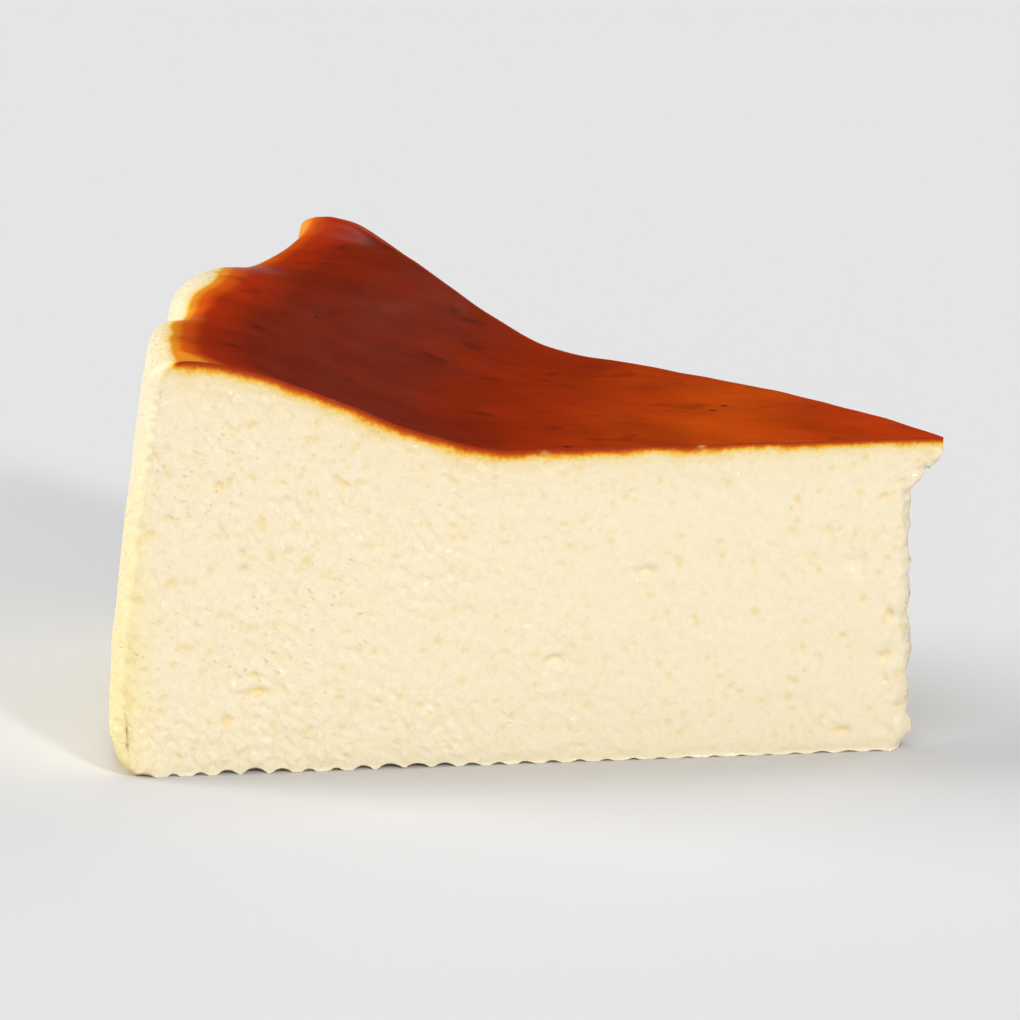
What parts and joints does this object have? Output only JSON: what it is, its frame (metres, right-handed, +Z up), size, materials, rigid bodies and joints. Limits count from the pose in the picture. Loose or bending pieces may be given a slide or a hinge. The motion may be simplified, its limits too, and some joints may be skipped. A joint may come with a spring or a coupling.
{
  "type": "slice of cheesecake",
  "caption": "A wedge of plain baked cheesecake, as cut, with a glossy browned top that rises to the outer rim and a pale cream inside.",
  "frame": {"origin": "centre of the bounding box's underside, on the level lands the slice stands on", "axes": "+X from the outer rim towards the tip, along the front cut, which faces -Y; +Z up"},
  "size_m": [0.0888, 0.061, 0.0478],
  "materials": {
    "cheesecake": "moist pale cream baked cheese, faintly translucent, fine grained with small pits, under a thin glossy red-brown baked skin that covers the top only"
  },
  "bodies": {
    "root": {"cheesecake_slice": "cheesecake"}
  },
  "joints": []
}
